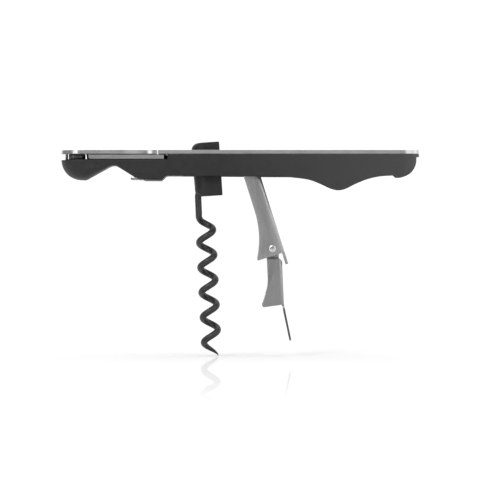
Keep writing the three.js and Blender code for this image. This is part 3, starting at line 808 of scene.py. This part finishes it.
BLADE_LOW = box_mm("foil_blade")[0]
BLADE_GAP = 0.06
BLADE_TOP = PLATE_BOTTOM - BLADE_GAP
BLADE_SHARP = 28
BOSS_R = 2.55
boss_outline = arc(KNIFE_PIVOT.x - 0.1, 0, BOSS_R, 90, 270, 24)
boss_outline += arc(KNIFE_PIVOT.x + 1.2, 0, BOSS_R, -90, 90, 24)
boss = sheet("blade_pivot_boss", [boss_outline, pivot_hole], BLADE_LOW.z, BLADE_TOP)
place(boss, "knife", DARK_STEEL_AND_PAINTED_SHADE, "bright_steel", "foil_blade")
profile = [(0, BLADE_LOW.z), (0.35, BLADE_LOW.z), (0.5, BLADE_LOW.z + 0.15), (0.5, BLADE_TOP),
           (0, BLADE_TOP)]
stop = lathe("blade_stop_pin", profile, "z", (KNIFE_PIVOT.x - 3.4, 0, 0), 24)
place(stop, "knife", DARK_STEEL_AND_PAINTED_SHADE, "bright_steel")


def blade_sections():
    """Cross-sections from heel to tip. The far edge is ground thin and finely serrated."""
    pivot_x = KNIFE_PIVOT.x
    spine_y = BLADE_LOW.y
    heel, tip = 4.12, 34.3
    edge = quadratic((heel, 2.0), (4.6, 4.2), (6.2, 4.4), 4) + [(20, 4.4)]
    edge += cubic((20, 4.4), (27, 4.4), (31, 0.5), (tip, -3.3), 16)[1:]
    spine = [(heel, -2.4), (4.5, -4.0), (4.9, spine_y + 0.25), (5.2, spine_y), (33.6, spine_y)]
    spine += quadratic((33.6, spine_y), (34.1, spine_y), (tip, -3.9), 4)[1:]
    bite_depth, bite_pitch = 0.28, 1.5
    top, low = BLADE_TOP - 0.01, BLADE_LOW.z - 0.1
    thin = top - 0.22
    sections = []
    steps = 170
    for i in range(steps + 1):
        x = heel + (tip - 0.02 - heel) * i / steps
        lean = 0.2 * (1 - smooth_step(x, heel, 6.5))
        back = along(spine, x)
        front = along(edge, x)
        bite = smooth_step(x, 8, 9) * (1 - smooth_step(x, 26, 29))
        front -= bite_depth * bite * abs(math.sin(math.pi * (x - 8) / bite_pitch))
        ground = back + 0.52 * (front - back)
        rim = min(0.16, 0.2 * (ground - back))
        profile = [(back + rim, top), (back, top - rim), (back, low + rim), (back + rim, low),
                   (ground, low), (ground + 0.5 * (front - ground), low + 0.5 * (thin - low)),
                   (front, thin), (front, top - 0.02), (ground, top)]
        sections.append([(pivot_x + x + lean * (top - z) / (top - low), y, z) for y, z in profile])
    return sections


blade = loft("serrated_foil_blade", blade_sections(), BLADE_SHARP)
carve(blade, *(prism("hole", hole, -5, 0, "z") for hole in rivet_holes), sharp=BLADE_SHARP)
place(blade, "knife", BLADE_STEEL, "bright_steel", "foil_blade")

for name, x in zip(RIVET_NAMES, RIVETS):
    low, high = box_mm(name)
    profile = [(0, low.z), (0.9, low.z), (1.15, low.z + 0.2), (1.15, high.z - 0.12),
               (0.95, high.z), (0, high.z)]
    place(lathe(name + "_head", profile, "z", (x, 0, 0), 32), "knife", CHROME, "bright_steel", name)

# ---------------------------------------------------------------- worm and carrier

# the wire and its coil; where the shank stands, and the depths along it at which it bends
WIRE_R, COIL_R, PITCH = 1.25, 2.75, 9.5
SHANK_R, AXIS_X, COIL_START, BEND = 2.37, -1.56, 20.3, 5.0
HOOK_START, HOOK_END, WORM_END, POINT = 6.5, 12.5, 72.08, 4.0
CLIMB = math.atan2(PITCH, 2 * math.pi * COIL_R)


def wire_thickness(depth):
    """The wire's share of its full radius: 1, and less within the ground point."""
    to_tip = max(WORM_END - depth, 0) / POINT
    return 1.0 if to_tip > 1 else 0.06 + 0.94 * to_tip**0.7


def wire_centre(depth):
    """The middle of the wire at a depth below the pin: shank, bend, coil, and the point eased aside."""
    bent = depth - (COIL_START - BEND / 2)
    eased = max(bent, 0) ** 2 / (2 * BEND) if bent < BEND else bent - BEND / 2
    sunk = 0.75 * WIRE_R * (1 - wire_thickness(depth))
    angle = 2 * math.pi * eased / PITCH - sunk * math.sin(CLIMB) / COIL_R
    hook = 0.12 * max(HOOK_END - depth, 0) ** 2
    radius = SHANK_R + (COIL_R - SHANK_R) * smooth_step(bent, 0, BEND)
    return Vector((AXIS_X + hook - radius * math.cos(angle), radius * math.sin(angle),
                   -depth - sunk * math.cos(CLIMB)))


def worm_piece():
    steps, sides = 460, 24
    depths = [HOOK_START + (WORM_END - HOOK_START) * i / steps for i in range(steps + 1)]
    centres = [wire_centre(depth) for depth in depths]
    normal = Vector((0, 1, 0))
    sections = []
    for i, centre in enumerate(centres):
        forward = (centres[min(i + 1, steps)] - centres[max(i - 1, 0)]).normalized()
        normal = (normal - forward * normal.dot(forward)).normalized()
        across = forward.cross(normal)
        radius = WIRE_R * wire_thickness(depths[i])
        ring = []
        for j in range(sides):
            angle = 2 * math.pi * j / sides
            ring.append(centre + radius * (normal * math.cos(angle) + across * math.sin(angle)))
        sections.append(ring)
    return loft("coiled_worm", sections, 60)


place(hang(worm_piece(), WORM_PIN, WORM_TILT), "worm_assembly", WIRE, "black_coating", "worm")

BLOCK_FACE, BLOCK_HALF, BLOCK_TOP, BLOCK_BOTTOM = 5.2, 4.8, 8.17, -12.2


def fillet(distance, radius):
    """How far a rounded edge stands back at a distance from the end."""
    if distance >= radius:
        return 0.0
    return radius - math.sqrt(max(radius**2 - (radius - distance) ** 2, 0.0))


def carrier_section(z):
    """The D section at a height: flat to the right, round to the left, rounded at both ends."""
    to_top, to_bottom = BLOCK_TOP - z, z - BLOCK_BOTTOM
    inset = fillet(to_top, 0.35) + fillet(to_bottom, 0.35)
    left = -0.3 * smooth_step(z, -10, 4) - BLOCK_FACE
    left += fillet(to_top, 2.7) + fillet(to_bottom, 2.4) + inset * 0.3
    right = BLOCK_FACE - inset
    half = BLOCK_HALF - inset
    flank = BLOCK_HALF - BLOCK_FACE
    corner = 0.6
    outline = arc(flank, 0, flank - left, 270, 90, 30, half)
    outline += arc(right - corner, half - corner, corner, 90, 0, 5)
    outline += arc(right - corner, corner - half, corner, 0, -90, 5)
    return [(x, y, z) for x, y in outline]


def carrier_levels():
    """Heights of the sections, closer together towards the rounded ends."""
    steps = [0, 0.03, 0.08, 0.15, 0.25, 0.36, 0.55, 0.8, 1.1, 1.5, 2.0, 2.6, 3.4]
    levels = [BLOCK_BOTTOM + s for s in steps if s <= 2.6] + [-8, -4, 0, 2, 4]
    return levels + [BLOCK_TOP - s for s in reversed(steps)]


block = loft("worm_carrier_block", [carrier_section(z) for z in carrier_levels()], 40)
carve(block, prism("bore", circle(PIN_CLEAR), -6, 6, "y"), sharp=40)
hang(block, WORM_PIN, CARRIER_TILT)
place(block, "worm_assembly", BLOCK_PLASTIC, "black_plastic", "worm_carrier")

# ---------------------------------------------------------------- levers


def folded_sheet(name, leg, bend, thickness, tail):
    """Folded steel: two flat legs, two bends and the web between them, then a flat tail.

    leg is one leg's outline in X and Z. bend gives the web's X, the legs' Y, the bend radius, the
    heights of the web's top and bottom, and how far its top falls across the bend. tail is the
    tail's outline in X, Y and Z. All of them are in the middle of the sheet's thickness.
    """
    back, side, radius, top, low, shoulder = bend
    points, faces = [], []

    def add(face_points):
        start = len(points)
        points.extend(face_points)
        faces.append(tuple(range(start, start + len(face_points))))

    for sign in (-1, 1):
        add([(x, sign * side, z) for x, z in leg])
    turn = arc(back - radius, side - radius, radius, 90, 0, 6)
    tops = [top - shoulder * (1 - math.cos(math.pi / 2 * i / 6)) for i in range(7)]
    for sign in (-1, 1):
        for (xa, ya), (xb, yb), za, zb in zip(turn, turn[1:], tops, tops[1:]):
            add([(xa, sign * ya, za), (xb, sign * yb, zb), (xb, sign * yb, low), (xa, sign * ya, low)])
    flat = side - radius
    add([(back, -flat, tops[-1]), (back, flat, tops[-1]), (back, flat, low), (back, -flat, low)])
    add(tail)
    piece = new_piece(name, points, faces)
    solid = piece.modifiers.new("sheet", "SOLIDIFY")
    solid.thickness = thickness * MM
    solid.offset = 0
    solid.use_even_offset = True
    applied(piece)
    return bevelled(piece, 0.1, 55)


# where each lever's web lies, how far down its legs reach, and the radius of the rivets' holes
UPPER_WEB, UPPER_FOOT = 2.55, -36.4
LOWER_WEB, LOWER_FOOT = 3.05, -21.4
RIVET_HOLE = 0.9


def upper_leg():
    """Round at the pin, hollow along the back, with the first foot at the bottom."""
    foot, curve_start, curve_r, half = UPPER_FOOT, -18.0, 36.0, 3.05
    sweep = math.degrees(math.asin((curve_start - foot - 1.4) / curve_r))
    outline = [(1.65, foot), (1.65, -3.0), (1.7, -2.53)]
    outline += arc(0, 0, half, -54, 180, 26)
    outline += arc(-half - curve_r, curve_start, curve_r, 0, -sweep, 12)
    heel = outline[-1]
    outline += quadratic(heel, (-8.15, foot - 0.12), (-7.2, foot - 0.02), 5)[1:]
    return outline


# the stop tab below the upper lever's web
half_tab = [(4.6, UPPER_FOOT), (4.6, -39.6), (4.2, -40.4), (3.4, -41.0)]
upper_tail = [(UPPER_WEB, -4.6, UPPER_FOOT)]
upper_tail += [(UPPER_WEB, y, z) for y, z in half_tab]
upper_tail += [(UPPER_WEB, -y, z) for y, z in reversed(half_tab[1:])]
upper = folded_sheet("upper_lever_channel", upper_leg(),
                     (UPPER_WEB, 5.5, 0.9, -3.0, UPPER_FOOT, 0.0), 1.0, upper_tail)
carve(upper, prism("pin", circle(PIN_HOLE), -8, 8, "y"),
      prism("rivet", circle(RIVET_HOLE, -1.0, -33.8), -8, 8, "y"))
hang(upper, LEVER_PIN, UPPER_TILT)
place(upper, "upper_lever_assembly", UPPER_STEEL, "satin_steel", "upper_lever")


def rivet_head(name, side, node):
    """A short rivet with a low domed head outside the legs."""
    profile = [(0, 4.1), (0.8, 4.1), (0.8, 6.0), (1.32, 6.0), (1.32, 6.03)]
    profile += arc(0, 6.03, 1.32, 6, 84, 13, 0.28) + [(0, 6.31)]
    rivet = lathe(name, [(r, side * h) for r, h in profile], "y")
    hang(rivet, ELBOW, UPPER_TILT)
    place(rivet, "upper_lever_assembly", RIVET_STEEL, "bright_steel", node)


rivet_head("elbow_rivet_front", -1, "joint_rivet_front")
rivet_head("elbow_rivet_rear", 1, "joint_rivet_rear")


def toothed_edge(start, end, teeth, depth):
    """Fine grip teeth along a straight stretch of an outline, cut in from it."""
    a, b = Vector(start), Vector(end)
    step = (b - a) / teeth
    inward = Vector((-step.y, step.x)).normalized() * depth
    points = []
    for i in range(teeth):
        points += [tuple(a + step * i), tuple(a + step * (i + 0.5) + inward)]
    return points + [tuple(b)]


def lower_leg():
    """Round at the middle joint, with the second, toothed foot at the bottom."""
    outline = [(2.25, LOWER_FOOT), (2.25, -3.8), (2.25, -3.4)]
    outline += quadratic((2.28, -3.1), (2.45, -1.6), (2.6, 0), 3)
    outline += arc(0, 0, 2.6, 8, 150, 18)
    outline += [(-2.25, -1.0), (-2.25, -10.8)]
    outline += quadratic((-2.25, -10.8), (-2.25, -14.0), (-3.3, -16.6), 7)[1:]
    outline += toothed_edge((-3.45, -17.0), (-4.75, -20.4), 7, 0.22)
    outline += quadratic((-4.85, -20.7), (-5.0, -22.1), (-3.95, -22.02), 6)
    return outline


def lower_tail():
    """The web runs on below the legs and leans back to the pry tip."""
    lean = math.atan2(5.68 - 3.45, 35.3 - 21.6)
    start = Vector((LOWER_WEB, 0, LOWER_FOOT))
    along_tail = Vector((math.sin(lean), 0, -math.cos(lean)))
    length, half, corner = 13.95, 4.4, 1.4
    outline = [(0, -3.65), (0, 3.65), (1.2, 4.2), (2.4, half)]
    outline += arc(length - corner, half - corner, corner, 90, 0, 5)
    outline += arc(length - corner, corner - half, corner, 0, -90, 5)
    outline += [(2.4, -half), (1.2, -4.2)]
    points = []
    for down, y in outline:
        spot = start + along_tail * down
        points.append((spot.x, y, spot.z))
    return points


lower = folded_sheet("lower_lever_channel", lower_leg(),
                     (LOWER_WEB, 4.45, 0.8, -3.8, LOWER_FOOT, 1.7), 0.8, lower_tail())
carve(lower, prism("rivet", circle(RIVET_HOLE), -8, 8, "y"))
hang(lower, ELBOW, LOWER_TILT)
place(lower, "lower_lever_assembly", LOWER_STEEL, "satin_steel", "lower_lever")

# ---------------------------------------------------------------- finishes on the CAD pieces kept

kept_nodes = {"front_liner": LINER_STEEL, "rear_liner": LINER_STEEL, "knife_pivot_nut": CHROME}
for node, material in kept_nodes.items():
    for material_slot in frame["nodes"][node].material_slots:
        material_slot.material = material

# ---------------------------------------------------------------- stage, light and camera

# lengths from here on in metres
FLOOR_Z = cad_box[0].z - 0.0002
FLOOR_SIZE = 30.0
# the floor is a little greyer near this place in front of the object than far from it
FLOOR_TONE_AT, FLOOR_TONE_NEAR, FLOOR_TONE_FAR = (0, -0.16, 0), 0.12, 0.45
FLOOR_GREY, FLOOR_WHITE, FLOOR_SHINE = 0.79, 1.0, 0.22
WALL_GREY, WALL_RADIUS, WALL_TALL, WALL_SHORT = 0.36, 2.4, 1.7, 0.7
LIGHTS_AIM = Vector((0, 0, -0.03))


def floor_material():
    """Matt white with a weak mirror image in it."""
    n = Nodes("floor_finish")
    distance = n.add("ShaderNodeVectorMath", operation="DISTANCE")
    n.link(n.coordinates, distance.inputs[0])
    distance.inputs[1].default_value = FLOOR_TONE_AT
    spread = n.ramp(distance.outputs["Value"], FLOOR_TONE_NEAR, FLOOR_TONE_FAR, 0, 1)
    diffuse = n.add("ShaderNodeBsdfDiffuse")
    n.link(n.blend(spread, grey(FLOOR_GREY), grey(FLOOR_WHITE)), diffuse.inputs["Color"])
    gloss = n.add("ShaderNodeBsdfGlossy")
    gloss.inputs["Roughness"].default_value = 0.008
    mix = n.add("ShaderNodeMixShader")
    mix.inputs["Fac"].default_value = FLOOR_SHINE
    n.link(diffuse.outputs["BSDF"], mix.inputs[1])
    n.link(gloss.outputs["BSDF"], mix.inputs[2])
    n.link(mix.outputs["Shader"], n.tree.nodes["Material Output"].inputs["Surface"])
    n.tree.nodes.remove(n.shader)
    return n.material


def stage_piece(name, points, faces, material):
    mesh = bpy.data.meshes.new(name)
    mesh.from_pydata(points, [], faces)
    mesh.materials.append(material)
    piece = bpy.data.objects.new(name, mesh)
    scene.collection.objects.link(piece)


def make_floor():
    corners = [(x * FLOOR_SIZE, y * FLOOR_SIZE, FLOOR_Z) for x, y in ((-1, -1), (1, -1), (1, 1), (-1, 1))]
    stage_piece("floor", corners, [(0, 1, 2, 3)], floor_material())


def make_wall():
    """A curved grey studio wall round the front and sides, which the steel reflects.

    It is tall behind the camera and low at the sides.
    """
    points, faces = [], []
    for i, bearing in enumerate(range(-220, 1, 5)):
        height = WALL_TALL if -150 <= bearing <= -30 else WALL_SHORT
        angle = math.radians(bearing)
        x, y = WALL_RADIUS * math.cos(angle), WALL_RADIUS * math.sin(angle)
        points += [(x, y, FLOOR_Z), (x, y, FLOOR_Z + height)]
        if i:
            k = 2 * i
            faces.append((k - 2, k, k + 1, k - 1))
    n = Nodes("wall_paint")
    side = n.ramp(n.axis("X"), -0.7, 1.2, 0, 1)
    n.link(n.blend(side, grey(WALL_GREY * 0.65), grey(WALL_GREY * 2.0)), n.shader.inputs["Base Color"])
    n.set(Roughness=0.9)
    stage_piece("studio_wall", points, faces, n.material)


def make_world():
    world = bpy.data.worlds.new("studio")
    world.use_nodes = True
    background = world.node_tree.nodes["Background"]
    background.inputs["Color"].default_value = (1, 1, 1, 1)
    background.inputs["Strength"].default_value = 1.07
    scene.world = world


def soft_box(name, at, width, height, power):
    """A rectangular light of a power in watts, aimed at the object."""
    light = bpy.data.lights.new(name, "AREA")
    light.shape = "RECTANGLE"
    light.size, light.size_y = width, height
    light.energy = power
    holder = bpy.data.objects.new(name, light)
    holder.location = at
    holder.rotation_euler = (LIGHTS_AIM - Vector(at)).to_track_quat("-Z", "Y").to_euler()
    scene.collection.objects.link(holder)


def make_camera():
    data = bpy.data.cameras.new("camera")
    data.lens = 276.0
    data.sensor_width = 36.0
    data.clip_end = 200.0
    camera = bpy.data.objects.new("camera", data)
    camera.location = (-0.00302, -1.4, -0.03409)
    camera.rotation_euler = (math.pi / 2, 0, 0)
    scene.collection.objects.link(camera)
    scene.camera = camera


make_floor()
make_wall()
make_world()
soft_box("top_light", (0.1, -0.2, 0.9), 1.2, 0.9, 0.8)
soft_box("left_light", (-0.82, -0.95, 0.2), 0.6, 0.5, 1.6)
soft_box("right_light", (1.1, 0.0, 0.38), 1.1, 0.9, 2.0)
soft_box("right_front_light", (0.9, -0.9, 0.38), 0.9, 0.9, 2.2)
soft_box("front_light", (-0.5, -1.05, 0.75), 0.4, 0.4, 6.5)
make_camera()
scene.view_settings.view_transform = "Standard"
